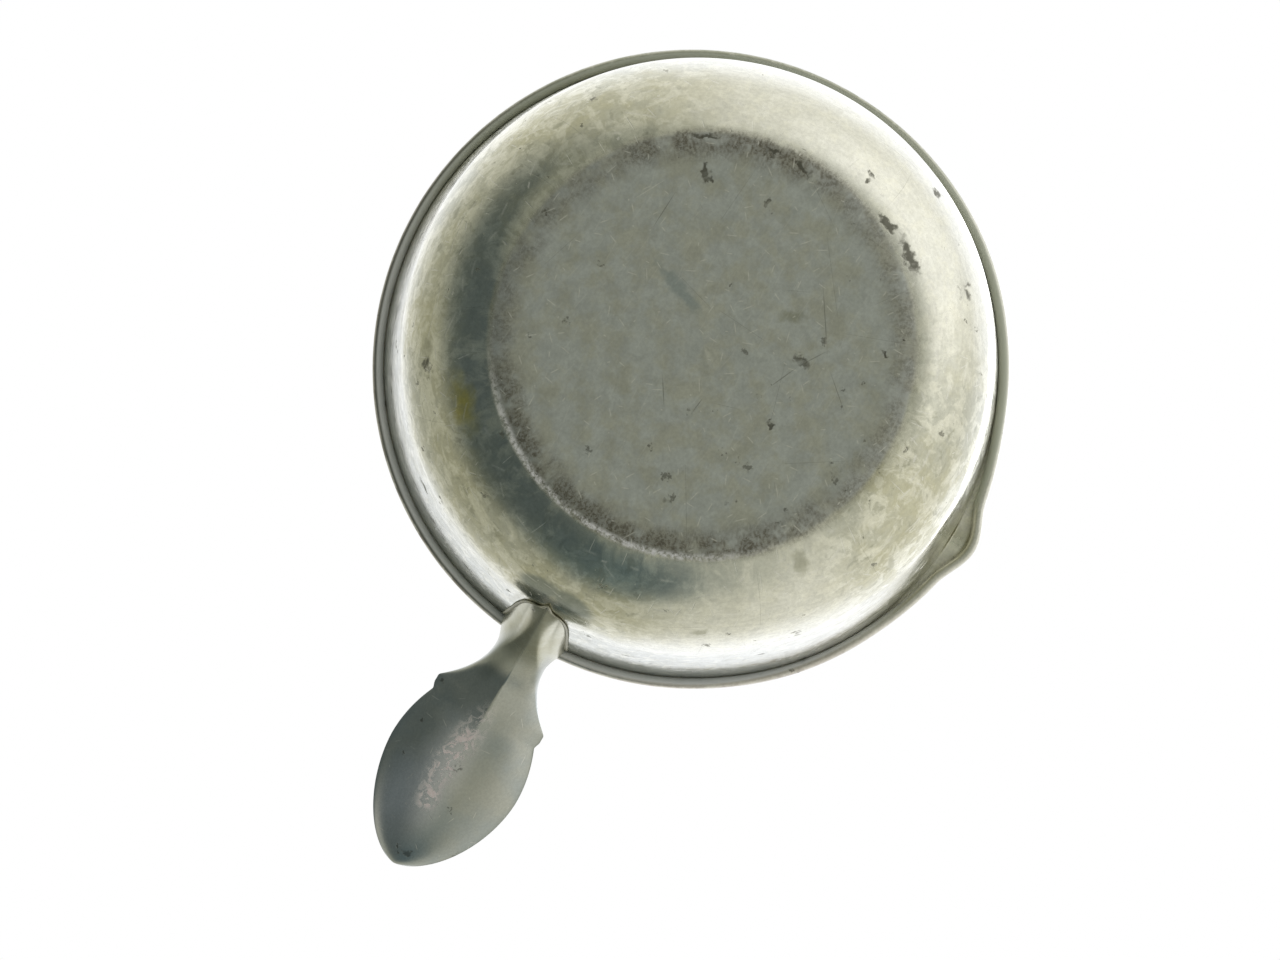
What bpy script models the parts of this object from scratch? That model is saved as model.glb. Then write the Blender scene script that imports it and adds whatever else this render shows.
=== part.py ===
"""Pewter bowl with a pouring lip and a cast side handle, standing upright on its foot.

The origin is the centre of the base on the standing surface. +Z is up, the handle points along +X
and the pouring lip is a quarter turn clockwise from it, seen from above.
"""

import math

import bmesh
import bpy

# Bowl, in metres and degrees
RIM_DIAMETER = 0.124
BOWL_HEIGHT = 0.045
FOOT_DIAMETER = 0.0674
FOOT_STEP = 0.0005
FOOT_CHAMFER = 0.0004
SHEET_THICKNESS = 0.0016
FLANGE_WIDTH = 0.0019
FLANGE_BEND_RADIUS = 0.0006
WALL_ANGLE = 72.0
BASE_CURVE_ANGLE = 14.0

# Pouring lip drawn out of the flange
LIP_AZIMUTH = -88.0
LIP_REACH = 0.0020
LIP_WIDTH = 0.0190
LIP_SHOULDER_REACH = 0.0011
LIP_SHOULDER_WIDTH = 0.054
LIP_DEPTH = 0.0010
LIP_FADE_HEIGHT = 0.012
RIM_PULL = 0.0005
RIM_PULL_SPREAD = 0.027

# Wire in the corner between the wall and the flange
WIRE_HEIGHT = 0.0015
WIRE_SIDE_HEIGHT = 0.0006

# Handle: places are measured outwards from the rim, drops downwards from the rim plane
HANDLE_REACH = 0.0499
LOBE_REACH = -0.0030
NECK_REACH = 0.0025
LEVEL_REACH = 0.0095
EAR_REACH = 0.0139
EAR_END_REACH = 0.0169
GRIP_REACH = 0.0279
ROOT_WIDTH = 0.0137
NECK_WIDTH = 0.0107
EAR_WIDTH = 0.0237
EAR_END_WIDTH = 0.0229
GRIP_WIDTH = 0.0277
HANDLE_TOP_DROP = 0.0010
ROOT_EDGE_DROP = 0.0040
GRIP_EDGE_DROP = 0.0024
NECK_DROP = 0.0070
GRIP_DROP = 0.0062
ROOT_DROP = 0.0320
LOBE_ROOT_DROP = 0.0298
LOBE_RUN = 0.0026
KEEL_ROOT_WIDTH = 0.0004
THUMB_HOLLOW = 0.0012
NECK_ROOF_SLOPE = 0.36
ROOT_ROOF_SLOPE = 0.40
LOBE_STEEPNESS = 0.78
KEEL_STEEPNESS = 0.93
EDGE_ROUNDING = 0.0012

# Solder bead round the handle's root
SOLDER_DIAMETER = 0.0008

CLEARANCE = 0.0003

# Mesh densities
TURN_STEPS = 120
ROOT_STEPS = 14
NECK_STEPS = 8
EAR_STEPS = 6
TIP_STEPS = 14
UNDERSIDE_STEPS = 12

MERGE_DISTANCE = 1e-6

RIM_RADIUS = RIM_DIAMETER / 2
FOOT_RADIUS = FOOT_DIAMETER / 2
WALL_SLOPE = math.radians(WALL_ANGLE)
BASE_SLOPE = math.radians(BASE_CURVE_ANGLE)
FLANGE_UNDERSIDE = BOWL_HEIGHT - SHEET_THICKNESS
WALL_TOP_RADIUS = RIM_RADIUS - FLANGE_WIDTH
BEND_RUN = FLANGE_BEND_RADIUS * math.tan(WALL_SLOPE / 2)
WIRE_TOP = FLANGE_UNDERSIDE - CLEARANCE
WIRE_BOTTOM = WIRE_TOP - WIRE_HEIGHT

PEWTER = (0.30, 0.30, 0.27, 1.0)
POLISHED_PEWTER = (0.42, 0.42, 0.39, 1.0)
HANDLE_PEWTER = (0.26, 0.28, 0.28, 1.0)
SOLDER_GREY = (0.16, 0.15, 0.13, 1.0)


def smooth_step(value):
    """0 below 0, 1 above 1, and a smooth rise between."""
    value = min(max(value, 0.0), 1.0)
    return value * value * (3 - 2 * value)


def blend(start, end, share):
    return start + (end - start) * share


def polar(centre, radius, angle):
    """A point in the profile plane, at an angle in radians from +X towards +Z."""
    return (centre[0] + radius * math.cos(angle), centre[1] + radius * math.sin(angle))


def base_curve():
    """Centre and outer radius of the curve that joins the foot to the straight wall."""
    start_radius = FOOT_RADIUS + FOOT_CHAMFER
    run = WALL_TOP_RADIUS - start_radius - (FLANGE_UNDERSIDE - FOOT_STEP) / math.tan(WALL_SLOPE)
    across = math.sin(WALL_SLOPE) - math.sin(BASE_SLOPE)
    up = math.cos(BASE_SLOPE) - math.cos(WALL_SLOPE)
    radius = run / (across - up / math.tan(WALL_SLOPE))
    centre = (start_radius - radius * math.sin(BASE_SLOPE), FOOT_STEP + radius * math.cos(BASE_SLOPE))
    return centre, radius


def flange_bend(offset):
    """The bend from the flange down to the wall, moved outwards from the outer surface by offset."""
    centre = (WALL_TOP_RADIUS + BEND_RUN, FLANGE_UNDERSIDE - FLANGE_BEND_RADIUS)
    steps = 4
    angles = [math.pi / 2 + WALL_SLOPE * step / steps for step in range(steps + 1)]
    return [polar(centre, FLANGE_BEND_RADIUS - offset, angle) for angle in angles]


def side_profile(offset, lowest_angle):
    """The bowl's side from the flange's bend down the wall and round the base curve.

    offset moves it outwards from the outer surface, so minus the sheet's thickness is the inside.
    """
    bend = flange_bend(offset)
    centre, radius = base_curve()
    curve_steps = 8
    curve = [
        polar(centre, radius + offset, blend(WALL_SLOPE, lowest_angle, step / curve_steps) - math.pi / 2)
        for step in range(curve_steps + 1)
    ]
    wall_steps = 4
    wall = [
        tuple(blend(top, bottom, step / wall_steps) for top, bottom in zip(bend[-1], curve[0]))
        for step in range(1, wall_steps)
    ]
    return bend + wall + curve


def wall_radius(height, offset=0):
    """The radius, at a height between the foot and the flange, that lies offset outside the wall."""
    centre, radius = base_curve()
    radius += offset
    straight_from = centre[1] - radius * math.cos(WALL_SLOPE)
    if height >= straight_from:
        return centre[0] + radius * math.sin(WALL_SLOPE) + (height - straight_from) / math.tan(WALL_SLOPE)
    return centre[0] + math.sqrt(radius**2 - (centre[1] - height) ** 2)


def body_profile():
    """Closed on the axis: the inside from the floor up, the flange's edge, then the outside down."""
    outside = side_profile(0, BASE_SLOPE)
    inside = side_profile(-SHEET_THICKNESS, 0)
    edge_centre = (RIM_RADIUS - SHEET_THICKNESS / 2, BOWL_HEIGHT - SHEET_THICKNESS / 2)
    edge_steps = 4
    edge = [
        polar(edge_centre, SHEET_THICKNESS / 2, math.pi / 2 - math.pi * step / edge_steps)
        for step in range(edge_steps + 1)
    ]
    floor = [(0, inside[-1][1])]
    foot = [(FOOT_RADIUS, 0), (0, 0)]
    return floor + inside[::-1] + edge + outside + foot


def wire_profile():
    """A wire that fills the corner under the flange and has a round underside."""
    side_bottom = WIRE_TOP - WIRE_SIDE_HEIGHT
    half = (RIM_RADIUS - wall_radius(side_bottom, CLEARANCE)) / 2
    steps = 8
    underside = []
    for step in range(steps + 1):
        angle = math.pi * step / steps
        drop = (WIRE_HEIGHT - WIRE_SIDE_HEIGHT) * math.sin(angle)
        underside.append((RIM_RADIUS - half + half * math.cos(angle), side_bottom - drop))
    return [(RIM_RADIUS, WIRE_TOP)] + underside + flange_bend(CLEARANCE)[::-1]


def flange_share(radius):
    """0 on the wall and its bend, 1 at the flange's edge, with a smooth change across the flange."""
    bend_end = WALL_TOP_RADIUS + BEND_RUN
    edge_start = RIM_RADIUS - SHEET_THICKNESS / 2
    return smooth_step((radius - bend_end) / (edge_start - bend_end))


def lip_shape(radius, azimuth, height, outwards):
    """Where a point goes when the lip is drawn; outwards is 0 on the wall, 1 on the edge and wire."""
    turn = (azimuth - math.radians(LIP_AZIMUTH) + math.pi) % math.tau - math.pi
    along_rim = turn * RIM_RADIUS
    swell, shoulder = (
        math.cos(math.pi * min(abs(along_rim) / width, 0.5)) ** 2
        for width in (LIP_WIDTH, LIP_SHOULDER_WIDTH)
    )
    spread = along_rim / RIM_PULL_SPREAD
    pull = RIM_PULL * spread * math.exp(0.5 - 0.5 * spread**2) * (1 - smooth_step(abs(spread) - 1.5))
    pull = pull * smooth_step(height / FLANGE_UNDERSIDE)
    reach = LIP_REACH * swell + LIP_SHOULDER_REACH * shoulder
    upwards = smooth_step((height - WIRE_BOTTOM) / LIP_FADE_HEIGHT + 1)
    sink = LIP_DEPTH * swell * upwards
    radius += pull + outwards * reach - (1 - outwards) * sink / math.tan(WALL_SLOPE)
    return radius, height - sink


def new_collection(name):
    collection = bpy.data.collections.new(name)
    bpy.context.scene.collection.children.link(collection)
    return collection


def metal(name, colour, roughness):
    material = bpy.data.materials.new(name)
    material.use_nodes = True
    shader = material.node_tree.nodes["Principled BSDF"]
    shader.inputs["Base Color"].default_value = colour
    shader.inputs["Metallic"].default_value = 1.0
    shader.inputs["Roughness"].default_value = roughness
    return material


def add_object(name, data, collection):
    thing = bpy.data.objects.new(name, data)
    collection.objects.link(thing)
    return thing


def turned(name, profile, is_ring, collection):
    """A turned solid: the profile runs down its outer side, and a ring's profile closes on itself."""
    count = len(profile)
    edges = [(index, index + 1) for index in range(count - 1)]
    if is_ring:
        edges.append((count - 1, 0))
    mesh = bpy.data.meshes.new(name)
    mesh.from_pydata([(radius, 0, height) for radius, height in profile], edges, [])
    thing = add_object(name, mesh, collection)
    screw = thing.modifiers.new("Turn", "SCREW")
    screw.axis = "Z"
    screw.angle = math.tau
    screw.steps = TURN_STEPS
    screw.render_steps = TURN_STEPS
    screw.use_merge_vertices = True
    screw.merge_threshold = MERGE_DISTANCE
    return thing


def keep_modifiers(thing):
    """Replaces the object's mesh by its evaluated one."""
    bpy.context.view_layer.update()
    evaluated = thing.evaluated_get(bpy.context.evaluated_depsgraph_get())
    mesh = bpy.data.meshes.new_from_object(evaluated)
    thing.modifiers.clear()
    thing.data = mesh


def draw_lip(thing, is_wire):
    """Draws the pouring lip into a turned mesh."""
    keep_modifiers(thing)
    for vertex in thing.data.vertices:
        x, y, z = vertex.co
        azimuth = math.atan2(y, x)
        turned_radius = math.hypot(x, y)
        outwards = 1 if is_wire else flange_share(turned_radius)
        radius, height = lip_shape(turned_radius, azimuth, z, outwards)
        vertex.co = (radius * math.cos(azimuth), radius * math.sin(azimuth), height)


def finish(thing, material, sharp_angle=40):
    thing.data.materials.clear()
    thing.data.materials.append(material)
    if thing.type == "MESH":
        thing.data.shade_smooth()
        thing.data.set_sharp_from_angle(angle=math.radians(sharp_angle))


def root_reach():
    """Where the handle's lowest point meets the wall, measured outwards from the rim."""
    return wall_radius(BOWL_HEIGHT - ROOT_DROP) - RIM_RADIUS


def handle_half_width(reach):
    """Half the handle's width, seen from below, at a distance outwards from the rim."""
    if reach <= NECK_REACH:
        share = smooth_step((reach - LOBE_REACH) / (NECK_REACH - LOBE_REACH))
        return blend(ROOT_WIDTH, NECK_WIDTH, share) / 2
    if reach <= EAR_REACH:
        share = ((reach - NECK_REACH) / (EAR_REACH - NECK_REACH)) ** 2
        return blend(NECK_WIDTH, EAR_WIDTH, share) / 2
    if reach <= EAR_END_REACH:
        share = smooth_step(2 * (reach - EAR_REACH) / (EAR_END_REACH - EAR_REACH) - 1)
        return blend(EAR_WIDTH, EAR_END_WIDTH, share) / 2
    if reach <= GRIP_REACH:
        share = ((GRIP_REACH - reach) / (GRIP_REACH - EAR_END_REACH)) ** 2
        return blend(GRIP_WIDTH, EAR_END_WIDTH, share) / 2
    share = (reach - GRIP_REACH) / (HANDLE_REACH - GRIP_REACH)
    side_fullness = 1.8
    tip_bluntness = 0.6
    return GRIP_WIDTH / 2 * (1 - share**side_fullness) ** tip_bluntness


def handle_edges(reach):
    """Heights of the top face and of the side edge at a distance from the rim."""
    side_share = smooth_step((reach - NECK_REACH) / (EAR_REACH - NECK_REACH))
    side = BOWL_HEIGHT - blend(ROOT_EDGE_DROP, GRIP_EDGE_DROP, side_share)
    return BOWL_HEIGHT - HANDLE_TOP_DROP, side


def grip_share(reach):
    """0 where the neck ends, 1 from the start of the grip's widest part."""
    grip_start = (EAR_END_REACH + GRIP_REACH) / 2
    return smooth_step((reach - LEVEL_REACH) / (grip_start - LEVEL_REACH))


def crest_height(reach):
    """Height of the underside's middle line from the neck to the tip."""
    grip_start = (EAR_END_REACH + GRIP_REACH) / 2
    if reach <= grip_start:
        return BOWL_HEIGHT - blend(NECK_DROP, GRIP_DROP, grip_share(reach))
    nearing = (reach - grip_start) / (HANDLE_REACH - grip_start)
    return BOWL_HEIGHT - GRIP_EDGE_DROP - (GRIP_DROP - GRIP_EDGE_DROP) * math.sqrt(1 - nearing**2)


def grip_underside(reach, across, half_width):
    """Height of the underside from the neck outwards: a low roof at the neck, a lens at the grip."""
    _, side = handle_edges(reach)
    crest = crest_height(reach)
    roof = min(crest + NECK_ROOF_SLOPE * abs(across), side)
    share = min(abs(across) / half_width, 1.0)
    crest_bluntness = 0.85
    lens = side - (side - crest) * (1 - share**2) ** crest_bluntness
    return blend(roof, lens, grip_share(reach))


def wall_steepness(height):
    """Rise over run of the outside of the wall at a height."""
    rise = 0.0001
    return rise / (wall_radius(height + rise) - wall_radius(height))


def swept_height(reach, across, root, neck, share_of_wall):
    """Height on a curve that leaves the wall with a share of its steepness and runs to the neck."""
    start = math.sqrt(wall_radius(root) ** 2 - across**2) - RIM_RADIUS
    if reach <= start:
        return root
    steepness = share_of_wall * wall_steepness(root)
    corner = min(start + (neck - root) / steepness, LEVEL_REACH)
    corner_height = root + steepness * (corner - start)
    bend = start - 2 * corner + LEVEL_REACH
    run = corner - start
    way = (reach - start) / (run + math.sqrt(run**2 + bend * (reach - start)))
    return root * (1 - way) ** 2 + 2 * corner_height * way * (1 - way) + neck * way**2


def root_underside(reach, across, half_width):
    """Height of the root's underside: a keel that widens into the neck, and a lobe on each side."""
    share = min(abs(across) / half_width, 1.0)
    side = BOWL_HEIGHT - ROOT_EDGE_DROP
    side_fullness = 3.0
    crest_bluntness = 0.7
    depth = (1 - share**side_fullness) ** crest_bluntness
    lobe_root = side - (LOBE_ROOT_DROP - ROOT_EDGE_DROP) * depth
    neck = grip_underside(LEVEL_REACH, across, half_width)
    lobe = swept_height(reach, across, lobe_root, max(neck, lobe_root), LOBE_STEEPNESS)
    way = min(max((reach - root_reach()) / (LEVEL_REACH - root_reach()), 0.0), 1.0)
    keel_root = BOWL_HEIGHT - ROOT_DROP
    keel = swept_height(reach, 0, keel_root, BOWL_HEIGHT - NECK_DROP, KEEL_STEEPNESS)
    keel += blend(ROOT_ROOF_SLOPE, NECK_ROOF_SLOPE, way) * abs(across)
    widening = 2.5
    keel_half_width = blend(KEEL_ROOT_WIDTH, EAR_WIDTH, way**widening) / 2
    return blend(keel, lobe, smooth_step((abs(across) - keel_half_width) / LOBE_RUN))


def underside_height(reach, across, half_width):
    """Height of the handle's underside, rounded off towards its edge."""
    _, side = handle_edges(reach)
    if reach < LEVEL_REACH:
        surface = root_underside(reach, across, half_width)
    else:
        surface = grip_underside(reach, across, half_width)
    share = min(abs(across) / half_width, 1.0)
    fullness = 8
    return side - (side - surface) * math.sqrt(1 - share**fullness)


def handle_half_section(reach):
    """Points from the middle of the top, round the edge and under to the keel, on the +Y side."""
    half_width = handle_half_width(reach)
    top, side = handle_edges(reach)
    rounding = min(EDGE_ROUNDING, half_width / 2)
    hollow = THUMB_HOLLOW * smooth_step((reach - EAR_REACH) / (GRIP_REACH - EAR_REACH))
    hollow *= 1 - smooth_step((reach - GRIP_REACH) / (HANDLE_REACH - GRIP_REACH))
    flat_half = half_width - rounding
    points = []
    top_steps = 4
    for step in range(top_steps):
        share = step / top_steps
        points.append((flat_half * share, top - hollow * (1 - share**2) ** 2))
    edge_steps = 3
    for step in range(edge_steps):
        angle = math.pi / 2 * step / edge_steps
        across = flat_half + rounding * math.sin(angle)
        points.append((across, side + (top - side) * math.cos(angle)))
    for step in range(UNDERSIDE_STEPS + 1):
        across = half_width * math.cos(math.pi / 2 * step / UNDERSIDE_STEPS)
        points.append((across, underside_height(reach, across, half_width)))
    return points


def handle_stations():
    """Distances from the rim at which the handle's sections stand, from inside the wall to the tip."""
    inside_wall = root_reach() - 2 * SHEET_THICKNESS
    stretches = (
        (inside_wall, LEVEL_REACH, ROOT_STEPS),
        (LEVEL_REACH, EAR_REACH, NECK_STEPS),
        (EAR_REACH, EAR_END_REACH, EAR_STEPS),
        (EAR_END_REACH, GRIP_REACH, NECK_STEPS),
    )
    stations = [
        blend(start, end, step / steps) for start, end, steps in stretches for step in range(steps)
    ]
    tip = [
        blend(GRIP_REACH, HANDLE_REACH, math.sin(math.pi / 2 * step / TIP_STEPS))
        for step in range(TIP_STEPS)
    ]
    return stations + tip


def handle_blank(name, collection):
    """The cast handle before its root is fitted to the bowl, as a mirrored loft of half sections."""
    stations = handle_stations()
    sections = [handle_half_section(reach) for reach in stations]
    count = len(sections[0])
    points = [
        (RIM_RADIUS + reach, across, height)
        for reach, section in zip(stations, sections)
        for across, height in section
    ]
    faces = [list(range(count))]
    for station in range(len(stations) - 1):
        for index in range(count - 1):
            near = station * count + index
            far = near + count
            faces.append([near, far, far + 1, near + 1])
    tip = len(points)
    last_top = sections[-1][0][1]
    last_crest = sections[-1][-1][1]
    points.append((RIM_RADIUS + HANDLE_REACH, 0, (last_top + last_crest) / 2))
    last = tip - count
    faces += [[last + index + 1, last + index, tip] for index in range(count - 1)]
    mesh = bpy.data.meshes.new(name)
    mesh.from_pydata(points, [], faces)
    thing = add_object(name, mesh, collection)
    mirror = thing.modifiers.new("Other half", "MIRROR")
    mirror.use_axis = (False, True, False)
    mirror.use_clip = True
    mirror.merge_threshold = MERGE_DISTANCE
    return thing


def bowl_envelope(collection):
    """The space of the bowl, its wire and all above them, with the clearance that the handle keeps."""
    outside = side_profile(CLEARANCE, BASE_SLOPE)
    under_wire = WIRE_BOTTOM - CLEARANCE
    side = [point for point in outside if point[1] < under_wire]
    seat = [
        (RIM_RADIUS + CLEARANCE, 2 * BOWL_HEIGHT),
        (RIM_RADIUS + CLEARANCE, under_wire),
        (wall_radius(under_wire, CLEARANCE), under_wire),
    ]
    profile = [(0, 2 * BOWL_HEIGHT)] + seat + side + [(0, side[-1][1])]
    envelope = turned("bowl_envelope", profile, False, collection)
    envelope.hide_render = True
    envelope.display_type = "WIRE"
    return envelope


def fit_to_bowl(handle, envelope):
    """Cuts the handle's root to the wall and notches it round the rim."""
    cut = handle.modifiers.new("Fit to bowl", "BOOLEAN")
    cut.operation = "DIFFERENCE"
    cut.object = envelope


def root_contact_height(across, half_width):
    """Height at which the handle's underside meets the wall, at a distance from the handle's axis."""
    low = BOWL_HEIGHT - ROOT_DROP - ROOT_WIDTH
    high = WIRE_BOTTOM
    for _ in range(40):
        height = (low + high) / 2
        reach = math.sqrt(wall_radius(height) ** 2 - across**2) - RIM_RADIUS
        if underside_height(reach, across, half_width) > height:
            low = height
        else:
            high = height
    return high


def solder_path():
    """The line beside the root's contact with the wall, from under the rim on one side to the other."""
    half_width = ROOT_WIDTH / 2
    steps = 16
    angles = [math.pi * (step / steps - 0.5) for step in range(steps + 1)]
    contact = [
        (half_width * math.sin(angle), root_contact_height(half_width * math.sin(angle), half_width))
        for angle in angles
    ]
    stand_off = SOLDER_DIAMETER / 2 + CLEARANCE
    highest = WIRE_BOTTOM - stand_off
    path = []
    for index, (across, height) in enumerate(contact):
        before = contact[max(index - 1, 0)]
        after = contact[min(index + 1, steps)]
        run = math.hypot(after[0] - before[0], after[1] - before[1])
        across += stand_off * (after[1] - before[1]) / run
        height -= stand_off * (after[0] - before[0]) / run
        height = min(height, highest)
        path.append((math.sqrt(wall_radius(height, stand_off) ** 2 - across**2), across, height))
    return path


def solder_bead(name, collection):
    """The bead of solder that runs round the handle's root."""
    curve = bpy.data.curves.new(name, "CURVE")
    curve.dimensions = "3D"
    curve.bevel_depth = SOLDER_DIAMETER / 2
    curve.bevel_resolution = 2
    curve.use_fill_caps = True
    path = solder_path()
    spline = curve.splines.new("POLY")
    spline.points.add(len(path) - 1)
    for point, place in zip(spline.points, path):
        point.co = (*place, 1)
    return add_object(name, curve, collection)


def build():
    for thing in list(bpy.data.objects):
        bpy.data.objects.remove(thing)
    parts = new_collection("spouted_pewter_bowl")
    cutters = new_collection("cutters")

    bowl = turned("bowl_body", body_profile(), False, parts)
    draw_lip(bowl, is_wire=False)
    finish(bowl, metal("spun_pewter", PEWTER, 0.38))

    wire = turned("rim_wire", wire_profile(), True, parts)
    draw_lip(wire, is_wire=True)
    finish(wire, metal("wire_pewter", POLISHED_PEWTER, 0.32))

    handle = handle_blank("handle", parts)
    fit_to_bowl(handle, bowl_envelope(cutters))
    finish(handle, metal("cast_pewter", HANDLE_PEWTER, 0.34))

    solder = solder_bead("handle_solder", parts)
    finish(solder, metal("solder", SOLDER_GREY, 0.5))


build()
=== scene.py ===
"""Looks of an old pewter bowl with a pouring lip and a cast side handle, seen from below.

Places are in metres in the part's own frame: the origin is the centre of the base, +Z is up and the
handle points along +X. The bowl's underside faces the camera.
"""

import math

import bpy
import numpy as np
from mathutils import Matrix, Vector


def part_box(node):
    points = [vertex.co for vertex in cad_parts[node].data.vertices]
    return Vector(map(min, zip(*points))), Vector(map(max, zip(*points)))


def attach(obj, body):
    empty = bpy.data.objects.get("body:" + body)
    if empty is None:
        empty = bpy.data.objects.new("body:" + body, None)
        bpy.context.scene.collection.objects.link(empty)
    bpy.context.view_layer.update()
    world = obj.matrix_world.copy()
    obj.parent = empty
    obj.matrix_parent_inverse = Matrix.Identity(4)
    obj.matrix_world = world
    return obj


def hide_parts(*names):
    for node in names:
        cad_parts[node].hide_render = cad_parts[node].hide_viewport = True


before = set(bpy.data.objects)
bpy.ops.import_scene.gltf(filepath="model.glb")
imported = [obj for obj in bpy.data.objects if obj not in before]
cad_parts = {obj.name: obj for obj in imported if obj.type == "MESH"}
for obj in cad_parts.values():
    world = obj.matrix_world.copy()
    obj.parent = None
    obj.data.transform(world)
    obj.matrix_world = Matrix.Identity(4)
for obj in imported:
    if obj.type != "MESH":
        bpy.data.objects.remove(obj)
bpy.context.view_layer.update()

# Sizes of the frame
BOWL_LOW, BOWL_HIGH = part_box("bowl_body")
HANDLE_LOW, HANDLE_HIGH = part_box("handle")
RIM_RADIUS = BOWL_HIGH[0]
BOWL_HEIGHT = BOWL_HIGH[2]

# Sizes of the bowl, in metres and degrees
FOOT_RADIUS = 0.0337
FOOT_STEP = 0.0005
FOOT_CHAMFER = 0.0004
SHEET_THICKNESS = 0.0016
FLANGE_WIDTH = 0.0019
FLANGE_BEND_RADIUS = 0.0006
WALL_SLOPE = math.radians(72)
BASE_SLOPE = math.radians(14)
LIP_AZIMUTH = math.radians(-88)
LIP_SHOULDER_REACH = 0.0011
LIP_REACH = -BOWL_LOW[1] - RIM_RADIUS - LIP_SHOULDER_REACH
LIP_WIDTH = 0.0190
LIP_SHOULDER_WIDTH = 0.054
LIP_DEPTH = 0.0010
LIP_FADE_HEIGHT = 0.012
RIM_PULL = 0.0005
RIM_PULL_SPREAD = 0.027

# Sizes of the wire under the flange
WIRE_HEIGHT = 0.0017
WIRE_SIDE_HEIGHT = 0.0007

# Sizes of the handle: places are measured outwards from the rim, drops downwards from its plane
HANDLE_REACH = HANDLE_HIGH[0] - RIM_RADIUS
LOBE_REACH = -0.0030
NECK_REACH = 0.0025
LEVEL_REACH = 0.0095
EAR_REACH = 0.0139
EAR_END_REACH = 0.0169
GRIP_REACH = 0.0279
ROOT_WIDTH = 0.0137
NECK_WIDTH = 0.0107
EAR_WIDTH = 0.0237
EAR_END_WIDTH = 0.0229
GRIP_WIDTH = HANDLE_HIGH[1] - HANDLE_LOW[1]
HANDLE_TOP_DROP = 0.0010
ROOT_EDGE_DROP = 0.0040
GRIP_EDGE_DROP = 0.0024
NECK_DROP = 0.0070
GRIP_DROP = 0.0062
ROOT_DROP = 0.0320
LOBE_ROOT_DROP = 0.0298
LOBE_RUN = 0.0026
KEEL_ROOT_WIDTH = 0.0004
THUMB_HOLLOW = 0.0012
NECK_ROOF_SLOPE = 0.36
ROOT_ROOF_SLOPE = 0.40
LOBE_STEEPNESS = 0.78
KEEL_STEEPNESS = 0.93
EDGE_ROUNDING = 0.0012
TIP_SKEW = 0.0006
SEAT_GAP = 0.0001

WALL_TOP_RADIUS = RIM_RADIUS - FLANGE_WIDTH
BEND_RUN = FLANGE_BEND_RADIUS * math.tan(WALL_SLOPE / 2)
FLANGE_UNDERSIDE = BOWL_HEIGHT - SHEET_THICKNESS
WIRE_TOP = FLANGE_UNDERSIDE - SEAT_GAP
WIRE_BOTTOM = WIRE_TOP - WIRE_HEIGHT
GRIP_START = (EAR_END_REACH + GRIP_REACH) / 2

# The photograph's camera, fitted to the outlines of the rim, the base and the handle
CAMERA_PLACE = (0.02363, -0.00236, -0.1903)
HANDLE_IMAGE_ANGLE = math.radians(120.87)
IMAGE_WIDTH = 1280
FOCAL_PIXELS = 1200

SHARP_ANGLE = math.radians(50)

# Mesh densities
TURN_STEPS = 480
ENVELOPE_STEPS = 288
EDGE_STEPS = 6
FLANGE_STEPS = 5
BEND_STEPS = 8
WALL_STEPS = 28
CURVE_STEPS = 30
FOOT_STEPS = 10
BASE_STEPS = 26
FLOOR_STEPS = 20
WIRE_STEPS = 20
STATION_SPACING = 0.00035
TIP_STEPS = 60
HANDLE_TOP_STEPS = 16
HANDLE_EDGE_STEPS = 8
UNDERSIDE_STEPS = 48
SOLDER_STEPS = 120
SOLDER_SIDES = 12

# Dents of the sheet
DENT_DEPTH = 0.00012
DENT_WAVES = 9
DENT_LENGTHS = (0.018, 0.045)
DENT_SEED = 7
DENT_FADE = 0.006
DENTS_END = 0.002

# Bead of solder
SOLDER_THICKNESS = 0.00028
SOLDER_LUMPS = 0.00008
SOLDER_WAVES = 7
SOLDER_RATES = (3, 26)
SOLDER_SEED = 11


def smooth_step(value):
    value = np.clip(value, 0.0, 1.0)
    return value * value * (3 - 2 * value)


def blend(start, end, share):
    return start + (end - start) * share


def progress(value, start, end):
    """0 where the value is at start, 1 where it is at end."""
    return (value - start) / (end - start)


def arc(centre, radius, start, end, steps):
    """Points on an arc of the profile plane, angles in radians from +X towards +Z."""
    angles = np.linspace(start, end, steps + 1)
    return [(centre[0] + radius * math.cos(a), centre[1] + radius * math.sin(a)) for a in angles]


def straight(start, end, steps):
    """Points between two points of the profile plane, without the two themselves."""
    shares = [step / steps for step in range(1, steps)]
    return [(blend(start[0], end[0], s), blend(start[1], end[1], s)) for s in shares]


def base_curve():
    """Centre and outer radius of the curve that joins the foot to the straight wall."""
    start_radius = FOOT_RADIUS + FOOT_CHAMFER
    run = WALL_TOP_RADIUS - start_radius - (FLANGE_UNDERSIDE - FOOT_STEP) / math.tan(WALL_SLOPE)
    across = math.sin(WALL_SLOPE) - math.sin(BASE_SLOPE)
    up = math.cos(BASE_SLOPE) - math.cos(WALL_SLOPE)
    radius = run / (across - up / math.tan(WALL_SLOPE))
    centre = (start_radius - radius * math.sin(BASE_SLOPE), FOOT_STEP + radius * math.cos(BASE_SLOPE))
    return centre, radius


def flange_bend(offset):
    """The bend from the flange down to the wall, moved outwards from the outer surface by offset."""
    centre = (WALL_TOP_RADIUS + BEND_RUN, FLANGE_UNDERSIDE - FLANGE_BEND_RADIUS)
    return arc(centre, FLANGE_BEND_RADIUS - offset, math.pi / 2, math.pi / 2 + WALL_SLOPE, BEND_STEPS)


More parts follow.
